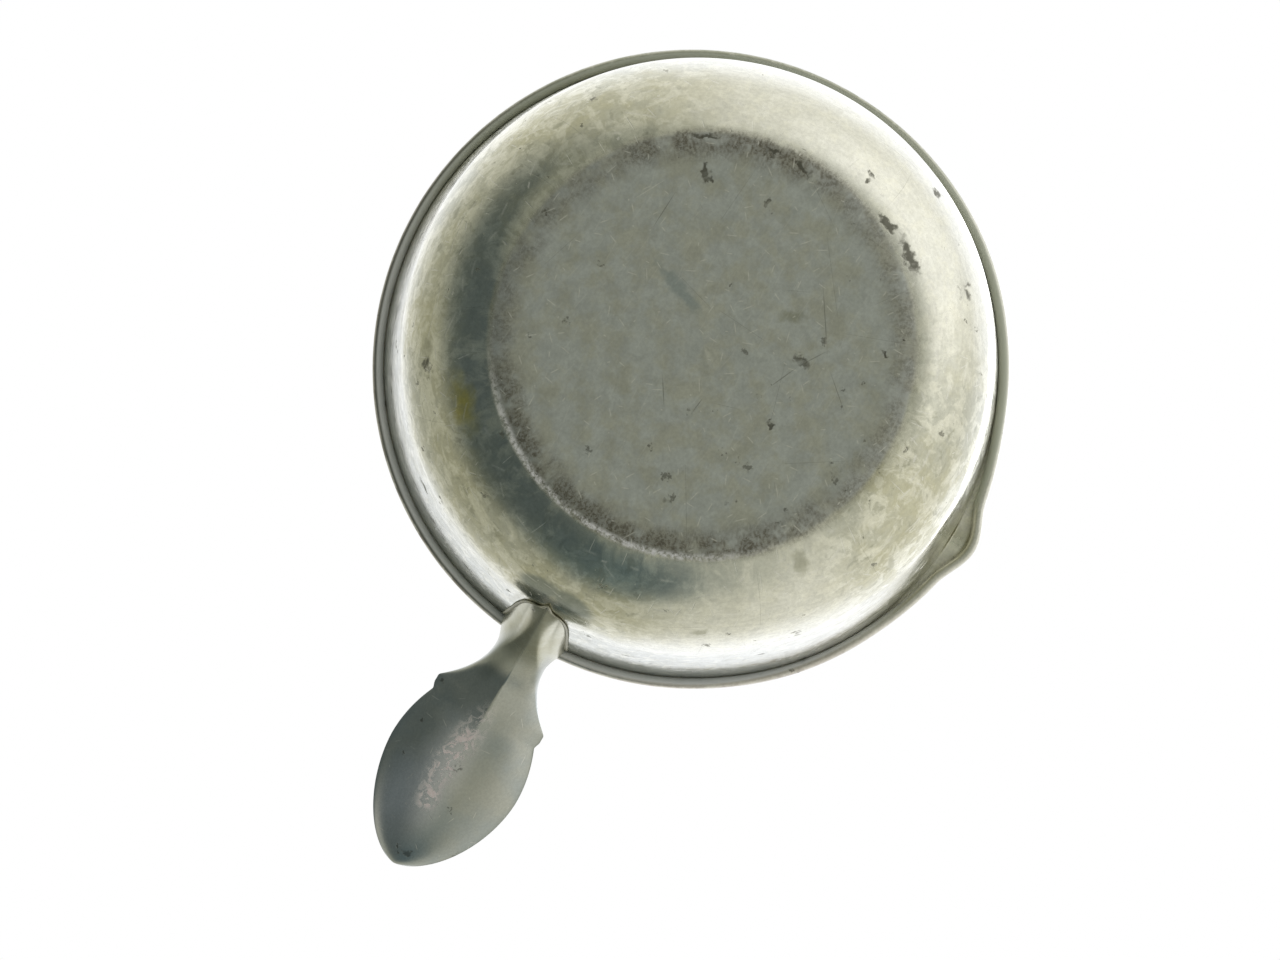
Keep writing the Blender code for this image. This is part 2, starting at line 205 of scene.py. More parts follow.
def side_profile(offset, lowest_angle):
    """The bowl's side from the flange's bend down, moved outwards from the outer surface by offset."""
    bend = flange_bend(offset)
    centre, radius = base_curve()
    start = WALL_SLOPE - math.pi / 2
    curve = arc(centre, radius + offset, start, lowest_angle - math.pi / 2, CURVE_STEPS)
    return bend + straight(bend[-1], curve[0], WALL_STEPS) + curve


def wall_radius(height, offset=0):
    """The radius, at a height between the foot and the flange, that lies offset outside the wall."""
    centre, radius = base_curve()
    radius += offset
    straight_from = centre[1] - radius * math.cos(WALL_SLOPE)
    if height >= straight_from:
        return centre[0] + radius * math.sin(WALL_SLOPE) + (height - straight_from) / math.tan(WALL_SLOPE)
    return centre[0] + math.sqrt(radius**2 - (centre[1] - height) ** 2)


def rounded_foot(wall_end):
    """Points of the worn edge between the wall and the base, which leaves no crease."""
    run = wall_end[1] / math.tan(BASE_SLOPE)
    corner = wall_end[0] - run
    points = []
    for step in range(1, FOOT_STEPS + 1):
        share = step / FOOT_STEPS
        points.append((corner + run * ((1 - share) ** 2 - share**2), wall_end[1] * (1 - share) ** 2))
    return points


def flange_edge(start, end):
    """The round edge of the flange between two angles."""
    half = SHEET_THICKNESS / 2
    return arc((RIM_RADIUS - half, BOWL_HEIGHT - half), half, start, end, EDGE_STEPS)


def outer_profile():
    """From the middle of the flange's edge down the outside to the middle of the base."""
    edge = flange_edge(0, -math.pi / 2)
    side = side_profile(0, BASE_SLOPE)
    foot_edge = rounded_foot(side[-1])
    flange = straight(edge[-1], side[0], FLANGE_STEPS)
    base = straight(foot_edge[-1], (0, 0), BASE_STEPS)
    return edge + flange + side + foot_edge + base + [(0, 0)]


def inner_profile():
    """From the middle of the floor up the inside to the middle of the flange's edge."""
    edge = flange_edge(math.pi / 2, 0)
    side = side_profile(-SHEET_THICKNESS, 0)[::-1]
    floor_middle = (0, side[0][1])
    floor = straight(floor_middle, side[0], FLOOR_STEPS)
    flange = straight(side[-1], edge[0], FLANGE_STEPS)
    return [floor_middle] + floor + side + flange + edge


def flange_share(radius):
    """0 on the wall and its bend, 1 at the flange's edge, with a smooth change across the flange."""
    bend_end = WALL_TOP_RADIUS + BEND_RUN
    edge_start = RIM_RADIUS - SHEET_THICKNESS / 2
    return smooth_step(progress(radius, bend_end, edge_start))


def lip_shape(radius, azimuth, height, outwards):
    """Where points go when the lip is drawn; outwards is 0 on the wall, 1 on the edge and wire."""
    turn = (azimuth - LIP_AZIMUTH + math.pi) % math.tau - math.pi
    along_rim = turn * RIM_RADIUS
    swell, shoulder = (
        np.cos(math.pi * np.minimum(np.abs(along_rim) / width, 0.5)) ** 2
        for width in (LIP_WIDTH, LIP_SHOULDER_WIDTH)
    )
    spread = along_rim / RIM_PULL_SPREAD
    pull = RIM_PULL * spread * np.exp(0.5 - 0.5 * spread**2)
    pull_fades_at = 1.5
    pull = pull * (1 - smooth_step(np.abs(spread) - pull_fades_at)) * smooth_step(height / FLANGE_UNDERSIDE)
    reach = LIP_REACH * swell + LIP_SHOULDER_REACH * shoulder
    upwards = smooth_step((height - WIRE_BOTTOM) / LIP_FADE_HEIGHT + 1)
    sink = LIP_DEPTH * swell * upwards
    radius = radius + pull + outwards * reach - (1 - outwards) * sink / math.tan(WALL_SLOPE)
    return radius, height - sink


def dents(azimuth, radius, height):
    """How far hand work and use have moved the sheet inwards, in metres, from 0 up."""
    dice = np.random.default_rng(DENT_SEED)
    along = radius + height
    total = np.zeros_like(azimuth)
    for turns in range(1, DENT_WAVES + 1):
        wave_length = dice.uniform(*DENT_LENGTHS)
        phase = dice.uniform(0, math.tau)
        total += np.sin(turns * azimuth + math.tau * along / wave_length + phase) / DENT_WAVES
    from_flange = WALL_TOP_RADIUS - radius
    return DENT_DEPTH * (0.5 + 0.5 * total) * smooth_step(progress(from_flange, DENTS_END, DENT_FADE))


def add_mesh(name, points, faces):
    mesh = bpy.data.meshes.new(name)
    mesh.from_pydata(points, [], faces)
    mesh.update()
    thing = bpy.data.objects.new(name, mesh)
    bpy.context.scene.collection.objects.link(thing)
    return thing


def ring_faces(rings, steps, is_loop=False):
    """Quads between rings of points, which run down the outer side of the shape."""
    faces = []
    for ring in range(rings if is_loop else rings - 1):
        lower = (ring + 1) % rings
        for step in range(steps):
            after = (step + 1) % steps
            corners = ((ring, step), (lower, step), (lower, after), (ring, after))
            faces.append(tuple(row * steps + column for row, column in corners))
    return faces


def cap_faces(count, steps):
    """Triangles from the first and the last ring of count points to the two points after them."""
    faces = []
    last = count - steps
    for step in range(steps):
        after = (step + 1) % steps
        faces.append((count, step, after))
        faces.append((last + step, count + 1, last + after))
    return faces


def turned_points(profile, steps):
    """Cylinder coordinates of a turned profile's rings, as flat arrays."""
    rings = np.repeat(np.array(profile), steps, axis=0)
    azimuth = np.tile(np.arange(steps) * math.tau / steps, len(profile))
    return rings[:, 0], azimuth, rings[:, 1]


def to_points(radius, azimuth, height):
    return np.stack((radius * np.cos(azimuth), radius * np.sin(azimuth), height), axis=1)


def shade(thing, *materials):
    for material in materials:
        thing.data.materials.append(material)
    thing.data.shade_smooth()
    thing.data.set_sharp_from_angle(angle=SHARP_ANGLE)


def bowl_mesh(name):
    """The bowl as one closed sheet, whose faces of slot 0 are outside and of slot 1 inside."""
    outside = outer_profile()[:-1]
    inside = inner_profile()[1:-1]
    profile = inside + outside
    radius, azimuth, height = turned_points(profile, TURN_STEPS)
    depth = dents(azimuth, radius, height)
    is_base = (height < FOOT_STEP) & (radius < FOOT_RADIUS)
    inwards = depth * ~is_base * smooth_step((radius - FOOT_RADIUS) / DENT_FADE)
    upwards = depth * is_base * smooth_step((FOOT_RADIUS - radius) / DENT_FADE)
    radius, height = lip_shape(radius - inwards, azimuth, height + upwards, flange_share(radius))
    places = to_points(radius, azimuth, height)
    points = [tuple(place) for place in places]
    points += [(0, 0, inside[0][1]), (0, 0, places[-TURN_STEPS:, 2].mean())]
    faces = ring_faces(len(profile), TURN_STEPS)
    outside_from = (len(inside) - 1) * TURN_STEPS
    slots = [1] * outside_from + [0] * (len(faces) - outside_from) + [1, 0] * TURN_STEPS
    faces += cap_faces(len(places), TURN_STEPS)
    return add_mesh(name, points, faces), slots


def wire_profile():
    """A wire that fills the corner under the flange and has a round underside."""
    side_bottom = WIRE_TOP - WIRE_SIDE_HEIGHT
    half = (RIM_RADIUS - wall_radius(side_bottom, SEAT_GAP)) / 2
    underside = []
    for step in range(WIRE_STEPS + 1):
        angle = math.pi * step / WIRE_STEPS
        drop = (WIRE_HEIGHT - WIRE_SIDE_HEIGHT) * math.sin(angle)
        underside.append((RIM_RADIUS - half + half * math.cos(angle), side_bottom - drop))
    return [(RIM_RADIUS, WIRE_TOP)] + underside + flange_bend(SEAT_GAP)[::-1]


def wire_mesh(name):
    profile = wire_profile()
    radius, azimuth, height = turned_points(profile, TURN_STEPS)
    radius, height = lip_shape(radius, azimuth, height, 1)
    faces = ring_faces(len(profile), TURN_STEPS, is_loop=True)
    return add_mesh(name, to_points(radius, azimuth, height), faces)


def root_reach():
    """Where the handle's lowest point meets the wall, measured outwards from the rim."""
    return wall_radius(BOWL_HEIGHT - ROOT_DROP) - RIM_RADIUS


def handle_half_width(reach):
    """Half the handle's width, seen from below, at a distance outwards from the rim."""
    if reach <= NECK_REACH:
        share = smooth_step(progress(reach, LOBE_REACH, NECK_REACH))
        return blend(ROOT_WIDTH, NECK_WIDTH, share) / 2
    if reach <= EAR_REACH:
        share = progress(reach, NECK_REACH, EAR_REACH) ** 2
        return blend(NECK_WIDTH, EAR_WIDTH, share) / 2
    if reach <= EAR_END_REACH:
        share = smooth_step(2 * progress(reach, EAR_REACH, EAR_END_REACH) - 1)
        return blend(EAR_WIDTH, EAR_END_WIDTH, share) / 2
    if reach <= GRIP_REACH:
        share = progress(reach, GRIP_REACH, EAR_END_REACH) ** 2
        return blend(GRIP_WIDTH, EAR_END_WIDTH, share) / 2
    side_fullness = 1.8
    tip_bluntness = 0.6
    return GRIP_WIDTH / 2 * (1 - tip_share(reach) ** side_fullness) ** tip_bluntness


def side_height(reach):
    """Height of the handle's side edge at a distance from the rim."""
    share = smooth_step(progress(reach, NECK_REACH, EAR_REACH))
    return BOWL_HEIGHT - blend(ROOT_EDGE_DROP, GRIP_EDGE_DROP, share)


def grip_share(reach):
    """0 where the neck ends, 1 from the start of the grip's widest part."""
    return smooth_step(progress(reach, LEVEL_REACH, GRIP_START))


def tip_share(reach):
    """0 at the grip's widest part, 1 at the tip."""
    return progress(reach, GRIP_REACH, HANDLE_REACH)


def crest_height(reach):
    """Height of the underside's middle line from the neck to the tip."""
    if reach <= GRIP_START:
        return BOWL_HEIGHT - blend(NECK_DROP, GRIP_DROP, grip_share(reach))
    nearing = progress(reach, GRIP_START, HANDLE_REACH)
    return BOWL_HEIGHT - GRIP_EDGE_DROP - (GRIP_DROP - GRIP_EDGE_DROP) * math.sqrt(1 - nearing**2)


def grip_underside(reach, across, half_width):
    """Height of the underside from the neck outwards: a low roof at the neck, a lens at the grip."""
    side = side_height(reach)
    crest = crest_height(reach)
    roof = min(crest + NECK_ROOF_SLOPE * abs(across), side)
    share = min(abs(across) / half_width, 1.0)
    crest_bluntness = 0.85
    lens = side - (side - crest) * (1 - share**2) ** crest_bluntness
    return blend(roof, lens, grip_share(reach))


def wall_steepness(height):
    """Rise over run of the outside of the wall at a height."""
    rise = 0.0001
    return rise / (wall_radius(height + rise) - wall_radius(height))


def swept_height(reach, across, root, neck, share_of_wall):
    """Height on a curve that leaves the wall with a share of its steepness and runs to the neck."""
    start = math.sqrt(wall_radius(root) ** 2 - across**2) - RIM_RADIUS
    if reach <= start:
        return root
    steepness = share_of_wall * wall_steepness(root)
    corner = min(start + (neck - root) / steepness, LEVEL_REACH)
    corner_height = root + steepness * (corner - start)
    bend = start - 2 * corner + LEVEL_REACH
    run = corner - start
    way = (reach - start) / (run + math.sqrt(run**2 + bend * (reach - start)))
    return root * (1 - way) ** 2 + 2 * corner_height * way * (1 - way) + neck * way**2


def root_underside(reach, across, half_width):
    """Height of the root's underside: a keel that widens into the neck, and a lobe on each side."""
    share = min(abs(across) / half_width, 1.0)
    side = BOWL_HEIGHT - ROOT_EDGE_DROP
    side_fullness = 3.0
    crest_bluntness = 0.7
    depth = (1 - share**side_fullness) ** crest_bluntness
    lobe_root = side - (LOBE_ROOT_DROP - ROOT_EDGE_DROP) * depth
    neck = grip_underside(LEVEL_REACH, across, half_width)
    lobe = swept_height(reach, across, lobe_root, max(neck, lobe_root), LOBE_STEEPNESS)
    way = min(max(progress(reach, root_reach(), LEVEL_REACH), 0.0), 1.0)
    keel_root = BOWL_HEIGHT - ROOT_DROP
    keel = swept_height(reach, 0, keel_root, BOWL_HEIGHT - NECK_DROP, KEEL_STEEPNESS)
    keel += blend(ROOT_ROOF_SLOPE, NECK_ROOF_SLOPE, way) * abs(across)
    widening = 2.5
    keel_half_width = blend(KEEL_ROOT_WIDTH, EAR_WIDTH, way**widening) / 2
    return blend(keel, lobe, smooth_step((abs(across) - keel_half_width) / LOBE_RUN))


def underside_height(reach, across, half_width):
    """Height of the handle's underside, rounded off towards its edge."""
    side = side_height(reach)
    if reach < LEVEL_REACH:
        surface = root_underside(reach, across, half_width)
    else:
        surface = grip_underside(reach, across, half_width)
    share = min(abs(across) / half_width, 1.0)
    fullness = 8
    return side - (side - surface) * math.sqrt(1 - share**fullness)


def handle_half_section(reach):
    """Points from the middle of the top, round the edge and under to the keel, on the +Y side."""
    half_width = handle_half_width(reach)
    top = BOWL_HEIGHT - HANDLE_TOP_DROP
    side = side_height(reach)
    rounding = min(EDGE_ROUNDING, half_width / 2)
    hollow = THUMB_HOLLOW * smooth_step(progress(reach, EAR_REACH, GRIP_REACH))
    hollow *= 1 - smooth_step(tip_share(reach))
    flat_half = half_width - rounding
    top_shares = [step / HANDLE_TOP_STEPS for step in range(HANDLE_TOP_STEPS)]
    edge_angles = [math.pi / 2 * step / HANDLE_EDGE_STEPS for step in range(HANDLE_EDGE_STEPS)]
    under_angles = [math.pi / 2 * step / UNDERSIDE_STEPS for step in range(UNDERSIDE_STEPS + 1)]
    points = [(flat_half * share, top - hollow * (1 - share**2) ** 2) for share in top_shares]
    for angle in edge_angles:
        points.append((flat_half + rounding * math.sin(angle), side + (top - side) * math.cos(angle)))
    for angle in under_angles:
        across = half_width * math.cos(angle)
        points.append((across, underside_height(reach, across, half_width)))
    return points


def handle_mesh(name):
    """The cast handle as a loft of whole sections, before its root is fitted to the bowl."""
    inside_wall = root_reach() - 2 * SHEET_THICKNESS
    stations = list(np.arange(inside_wall, GRIP_REACH, STATION_SPACING))
    tip_shares = [math.sin(math.pi / 2 * step / TIP_STEPS) for step in range(TIP_STEPS)]
    stations += [blend(GRIP_REACH, HANDLE_REACH, share) for share in tip_shares]
    points = []
    for reach in stations:
        half = handle_half_section(reach)
        skew = TIP_SKEW * max(tip_share(reach), 0) ** 2
        section = half + [(-across, height) for across, height in half[-2:0:-1]]
        points += [(RIM_RADIUS + reach, across + skew, height) for across, height in section]
    count = len(section)
    faces = ring_faces(len(stations), count)
    faces.append(tuple(range(count)))
    tip = len(points)
    last = tip - count
    tip_height = (points[last][2] + points[last + len(half) - 1][2]) / 2
    points.append((RIM_RADIUS + HANDLE_REACH, TIP_SKEW, tip_height))
    faces += [(last + step, tip, last + (step + 1) % count) for step in range(count)]
    return add_mesh(name, points, faces)


def fit_to_bowl(handle):
    """Cuts the handle's root to the wall and notches it round the rim."""
    under_wire = WIRE_BOTTOM - SEAT_GAP
    side = [point for point in side_profile(SEAT_GAP, BASE_SLOPE) if point[1] < under_wire]
    seat = [
        (RIM_RADIUS + SEAT_GAP, 2 * BOWL_HEIGHT),
        (RIM_RADIUS + SEAT_GAP, under_wire),
        (wall_radius(under_wire, SEAT_GAP), under_wire),
    ]
    profile = seat + side
    points = [tuple(point) for point in to_points(*turned_points(profile, ENVELOPE_STEPS))]
    faces = ring_faces(len(profile), ENVELOPE_STEPS) + cap_faces(len(points), ENVELOPE_STEPS)
    points += [(0, 0, profile[0][1]), (0, 0, profile[-1][1])]
    envelope = add_mesh("bowl_envelope", points, faces)
    cut = handle.modifiers.new("Fit to bowl", "BOOLEAN")
    cut.operation = "DIFFERENCE"
    cut.object = envelope
    bpy.context.view_layer.update()
    evaluated = handle.evaluated_get(bpy.context.evaluated_depsgraph_get())
    mesh = bpy.data.meshes.new_from_object(evaluated)
    handle.modifiers.clear()
    handle.data = mesh
    bpy.data.objects.remove(envelope)


def root_contact_height(across, half_width):
    """Height at which the handle's underside meets the wall, at a distance from its axis."""
    low = BOWL_HEIGHT - ROOT_DROP - ROOT_WIDTH
    high = WIRE_BOTTOM
    halvings = 40
    for _ in range(halvings):
        height = (low + high) / 2
        reach = math.sqrt(wall_radius(height) ** 2 - across**2) - RIM_RADIUS
        if underside_height(reach, across, half_width) > height:
            low = height
        else:
            high = height
    return high


def solder_mesh(name):
    """The bead of solder in the corner between the handle's root and the wall, thick and thin."""
    half_width = ROOT_WIDTH / 2
    dice = np.random.default_rng(SOLDER_SEED)
    waves = [(dice.uniform(*SOLDER_RATES), dice.uniform(0, math.tau)) for _ in range(SOLDER_WAVES)]
    lift = 0.00014
    stand_off = 0.00018
    wire_gap = 0.0003
    bead_width = 1.25
    bead_height = 0.8
    bluntness = 20
    end_size = 0.2
    contact = []
    for step in range(SOLDER_STEPS + 1):
        across = half_width * math.sin(math.pi * (step / SOLDER_STEPS - 0.5))
        contact.append((across, root_contact_height(across, half_width)))
    points = []
    for index, (across, height) in enumerate(contact):
        before = contact[max(index - 1, 0)]
        after = contact[min(index + 1, SOLDER_STEPS)]
        run = math.hypot(after[0] - before[0], after[1] - before[1])
        turn = index / SOLDER_STEPS * math.pi
        lump = sum(math.sin(rate * turn + phase) for rate, phase in waves) / SOLDER_WAVES
        thickness = SOLDER_THICKNESS + SOLDER_LUMPS * lump
        aside = (after[1] - before[1]) / run
        below = -(after[0] - before[0]) / run
        place_across = across + stand_off * aside
        place_height = min(height + stand_off * below, WIRE_BOTTOM - wire_gap)
        radius = wall_radius(place_height, lift)
        centre = np.array((math.sqrt(radius**2 - place_across**2), place_across, place_height))
        sideways = np.array((0, aside, below))
        outwards = np.array((math.sin(WALL_SLOPE), 0, -math.cos(WALL_SLOPE)))
        end_taper = max(math.sqrt(1 - (2 * index / SOLDER_STEPS - 1) ** bluntness), end_size)
        for side in range(SOLDER_SIDES):
            angle = math.tau * side / SOLDER_SIDES
            offset = sideways * math.cos(angle) * bead_width + outwards * math.sin(angle) * bead_height
            points.append(tuple(centre + offset * thickness * end_taper))
    faces = ring_faces(SOLDER_STEPS + 1, SOLDER_SIDES)
    faces.append(tuple(range(SOLDER_SIDES)))
    faces.append(tuple(range(len(points) - SOLDER_SIDES, len(points)))[::-1])
    return add_mesh(name, points, faces)


NODE_PREFIX = "ShaderNode"

# Usual lowest and highest values of a noise
NOISE_LOW = 0.3
NOISE_HIGH = 0.7


class Nodes:
    """Short calls that add linked nodes to one node tree; each gives back its output socket.

    Patterns lie on the tree's own place unless another one is given.
    """

    def __init__(self, tree):
        self.tree = tree
        self.place = None
        tree.nodes.clear()

    def put(self, socket, value):
        if isinstance(value, bpy.types.NodeSocket):
            self.tree.links.new(value, socket)
        else:
            socket.default_value = value

    def add(self, kind, inputs=None, **settings):
        node = self.tree.nodes.new(NODE_PREFIX + kind)
        for name, value in settings.items():
            setattr(node, name, value)
        for name, value in (inputs or {}).items():
            self.put(node.inputs[name], value)
        return node

    def calc(self, operation, *values):
        return self.add("Math", dict(enumerate(values)), operation=operation).outputs[0]

    def vector(self, operation, *values):
        node = self.add("VectorMath", dict(enumerate(values)), operation=operation)
        name = "Value" if operation in ("LENGTH", "DISTANCE", "DOT_PRODUCT") else "Vector"
        return node.outputs[name]

    def chain(self, operation, values):
        result = values[0]
        for value in values[1:]:
            result = self.calc(operation, result, value)
        return result

    def total(self, *values):
        return self.chain("ADD", values)

    def product(self, *values):
        return self.chain("MULTIPLY", values)

    def highest(self, *values):
        return self.chain("MAXIMUM", values)

    def fade(self, value, start, end, low=0.0, high=1.0):
        """Smooth change from low at start to high at end."""
        inputs = {"Value": value, "From Min": start, "From Max": end, "To Min": low, "To Max": high}
        return self.add("MapRange", inputs, interpolation_type="SMOOTHSTEP").outputs["Result"]

    def spread(self, noise, low, high):
        """A noise spread over the numbers from low to high."""
        return self.fade(noise, NOISE_LOW, NOISE_HIGH, low, high)

    def mix(self, share, first, second):
        """Mix of two colours."""
        inputs = {0: share, 6: first, 7: second}
        return self.add("Mix", inputs, data_type="RGBA").outputs[2]

    def blend(self, share, first, second):
        """Mix of two numbers."""
        inputs = {0: share, 2: first, 3: second}
        return self.add("Mix", inputs, data_type="FLOAT").outputs[0]

    def tint(self, colour, *layers):
        """The colour under layers, each with its colour, its share of 0 to 1 and its strength."""
        for paint, share, strength in layers:
            colour = self.mix(self.product(share, strength), colour, paint)
        return colour

    def dim(self, colour, factor):
        inputs = {"Vector": colour, "Scale": factor}
        return self.add("VectorMath", inputs, operation="SCALE").outputs[0]

    def add_place(self, x, y, z):
        return self.add("CombineXYZ", {"X": x, "Y": y, "Z": z}).outputs[0]

    def mix_place(self, share, first, second):
        inputs = {0: share, 4: first, 5: second}
        return self.add("Mix", inputs, data_type="VECTOR").outputs[1]

    def noise(self, scale, detail=4, roughness=0.6, distortion=0.0, place=None):
        place = self.place if place is None else place
        inputs = dict(Vector=place, Scale=scale, Detail=detail, Roughness=roughness, Distortion=distortion)
        return self.add("TexNoise", inputs).outputs[0]

    def flat_place(self):
        """The tree's place without its height."""
        return self.vector("MULTIPLY", self.place, (1, 1, 0))

    def ragged(self, place, scale, reach):
        """The place moved a little by noise, so that round shapes there turn ragged."""
        noise = self.add("TexNoise", {"Vector": place, "Scale": scale, "Detail": 3.0})
        wobble = self.vector("SUBTRACT", noise.outputs["Color"], (0.5, 0.5, 0.5))
        return self.vector("ADD", place, self.vector("MULTIPLY", wobble, (reach, reach, reach)))

    def spots(self, size, share):
        """Small ragged specks, one in a share of the cells of a size."""
        inputs = {"Vector": self.ragged(self.place, 4 / size, 0.9 * size), "Scale": 1 / size}
        cells = self.add("TexVoronoi", inputs)
        chosen = self.add("SeparateColor", {"Color": cells.outputs["Color"]}).outputs
        is_there = self.calc("LESS_THAN", chosen[0], share)
        reach = self.fade(chosen[1], 0.0, 1.0, 0.10, 0.30)
        inside = self.fade(cells.outputs["Distance"], reach, self.product(reach, 0.5))
        return self.product(is_there, inside)

    def scratches(self, place, cell, length, width, share, turn=math.pi, lean=0.0):
        """Short straight scratches, one in a share of the cells of a flat pattern."""
        inputs = {"Vector": place, "Scale": 1 / cell}
        cells = self.add("TexVoronoi", inputs, voronoi_dimensions="2D")
        chosen = self.add("SeparateColor", {"Color": cells.outputs["Color"]}).outputs
        local = self.vector("SUBTRACT", place, cells.outputs["Position"])
        angle = self.calc("MULTIPLY_ADD", chosen[0], turn, lean)
        inputs = {"Vector": local, "Angle": angle}
        turned = self.add("VectorRotate", inputs, rotation_type="Z_AXIS")
        sides = self.add("SeparateXYZ", {"Vector": turned.outputs[0]}).outputs
        half_length = self.product(chosen[1], length / 2)
        full_length = self.product(half_length, 0.4)
        along = self.fade(self.calc("ABSOLUTE", sides[0]), half_length, full_length)
        across = self.fade(self.calc("ABSOLUTE", sides[1]), width, 0.0)
        is_there = self.calc("LESS_THAN", chosen[2], share)
        return self.product(along, across, is_there)


def new_material(name):
    material = bpy.data.materials.new(name)
    material.use_nodes = True
    return material, Nodes(material.node_tree)


def metal(name, looks):
    """Metal with the colour, roughness and relief of its looks; relief is values and micrometres."""
    material, nodes = new_material(name)
    nodes.place = nodes.add("TexCoord").outputs["Object"]
    colour, roughness, relief = looks(nodes)
    height = nodes.total(*[nodes.product(value, depth / 1e6) for value, depth in relief])
    bump = nodes.add("Bump", {"Height": height, "Distance": 1.0, "Strength": 1.0})
    inputs = {"Base Color": colour, "Roughness": roughness, "Metallic": 1.0}
    inputs["Normal"] = bump.outputs["Normal"]
    shader = nodes.add("BsdfPrincipled", inputs)
    nodes.add("OutputMaterial", {"Surface": shader.outputs["BSDF"]})
    return material


# Colours
BRIGHT_PEWTER = (0.88, 0.88, 0.83, 1)
WARM_PEWTER = (0.58, 0.565, 0.42, 1)
COOL_PEWTER = (0.57, 0.575, 0.50, 1)
BASE_PEWTER = (0.57, 0.595, 0.59, 1)
OLIVE_PEWTER = (0.55, 0.555, 0.50, 1)
PALE_FLAKE = (0.88, 0.87, 0.76, 1)
# painted highlight at the bend under the flange
BEND_HIGHLIGHT = (0.93, 0.92, 0.86, 1)
# slate tarnish of smears on the base, also painted shade and painted reflection on the wall
SLATE_TARNISH_AND_SHADE = (0.36, 0.41, 0.42, 1)
OXIDE = (0.11, 0.107, 0.085, 1)
BROWN_GREY = (0.23, 0.215, 0.18, 1)
# olive stains, also the painted shadow round the handle's root
OLIVE_STAIN_AND_SHADE = (0.30, 0.30, 0.21, 1)
BROWN_TARNISH = (0.30, 0.27, 0.20, 1)
YELLOW_TARNISH = (0.78, 0.66, 0.20, 1)
SCUFFED = (0.84, 0.83, 0.79, 1)
# pale line along part of the foot's edge
EDGE_LINE_WHITE = (0.96, 0.95, 0.98, 1)
# painted dark reflection of the handle's neck on the wall
NECK_REFLECTION_DARK = (0.22, 0.25, 0.225, 1)
WIRE_OLIVE = (0.42, 0.435, 0.36, 1)
WIRE_BROWN = (0.62, 0.585, 0.56, 1)
WIRE_SHEEN = (0.78, 0.78, 0.72, 1)
WIRE_EDGE = (0.90, 0.88, 0.84, 1)
# painted highlight along the wire's inner side
INNER_HIGHLIGHT_GREY = (0.74, 0.76, 0.70, 1)
INNER_HIGHLIGHT_WHITE = (0.94, 0.94, 0.97, 1)
GRIP_BLUE = (0.44, 0.475, 0.48, 1)
GRIP_OLIVE = (0.50, 0.51, 0.475, 1)
ROOT_DARK = (0.45, 0.442, 0.335, 1)
ROOT_PALE = (0.505, 0.505, 0.405, 1)
# painted shade on the sides of the handle's neck
NECK_SHADE_DARK = (0.22, 0.24, 0.21, 1)
RUBBED = (0.86, 0.86, 0.93, 1)
PINK_SCUFF = (1.0, 0.91, 0.93, 1)
NICKED = (0.80, 0.78, 0.74, 1)
SOLDER_DARK = (0.32, 0.315, 0.26, 1)
SOLDER_PALE = (0.48, 0.47, 0.39, 1)
PALE_FLOOR = (0.93, 0.93, 0.92, 1)

# Sides with looks of their own, some with painted light or shade: azimuth, full within and gone beyond, in
# degrees
# painted light: the wall is painted brighter towards these two sides
LIT_WALL_SIDE = (-166, 20, 65)
GLEAMING_SIDE = (-41, 8, 30)
# painted shade: the upper wall is painted darker towards this side
SHADED_WALL_SIDE = (12, 40, 80)
DUSTY_SIDE = (-6, 40, 75)
DUSTY_FAR_SIDE = (159, 12, 40)
# painted dark reflection on the wall near the foot, towards this side
DARK_REFLECTION_SIDE = (22, 40, 80)
EDGE_LINE_SIDE = (5, 20, 62)
BROWN_SIDE = (10, 60, 110)
# painted shade on the wire towards this side
SHADED_WIRE_SIDE = (60, 35, 75)
# painted light on the wire towards this side
LIT_WIRE_SIDE = (-112, 30, 60)
EDGE_SIDE = (0, 30, 60)

# Rings round the base: the radii where each starts, is full, begins to fade and ends
DUST_RING = tuple(share * FOOT_RADIUS for share in (0.83, 0.95, 0.99, 1.05))
# painted dark reflection on the wall just outside the foot
DARK_REFLECTION_RING = (0.0342, 0.0349, 0.0370, 0.0425)
EDGE_LINE_RING = (0.0329, 0.0338, 0.0341, 0.0347)

# Radii that patterns are wrapped at; a small one draws the pattern out round the bowl
FLAT_WRAP = 0.05
FLAKE_WRAP = 0.024
STREAK_WRAP = 0.006
RUB_WRAP = 0.02

# Marks seen from below: the x and y of both ends and the half width, in millimetres
OXIDE_MARKS = (
    (-31.7, 7.6, -32.0, 5.0, 0.6),
    (-32.5, 2.6, -31.7, -0.7, 0.55),
    (-31.9, -13.7, -31.2, -16.8, 0.9),
    (-30.7, -18.7, -27.3, -23.0, 1.3),
    (-27.4, 18.9, -29.7, 14.7, 0.5),
    (-24.4, 14.1, -22.6, 13.3, 0.75),
    (-23.4, 13.2, -22.9, 12.6, 0.6),
    (-13.6, -25.3, -13.0, -25.7, 0.6),
    (-16.8, -26.9, -16.8, -26.7, 0.4),
    (5.2, -15.3, 5.7, -15.7, 0.7),
)
STAINS = (
    (-10.0, -7.9, -12.1, -11.5, 1.3),
    (20.9, -30.4, 22.7, -32.2, 1.6),
    (14.0, -45.0, 15.0, -45.6, 1.1),
    (39.9, -24.6, 40.7, -23.2, 1.1),
    (22.0, 39.1, 24.4, 37.7, 1.5),
    (42.8, 13.8, 43.4, 12.8, 0.9),
)
SMEARS = (
    (-7.6, 13.5, -3.6, 2.0, 1.2),
    (-6.6, 10.2, -5.4, 7.0, 1.9),
)
YELLOW_MARKS = (
    (24.6, 31.6, 30.4, 25.8, 3.0),
)
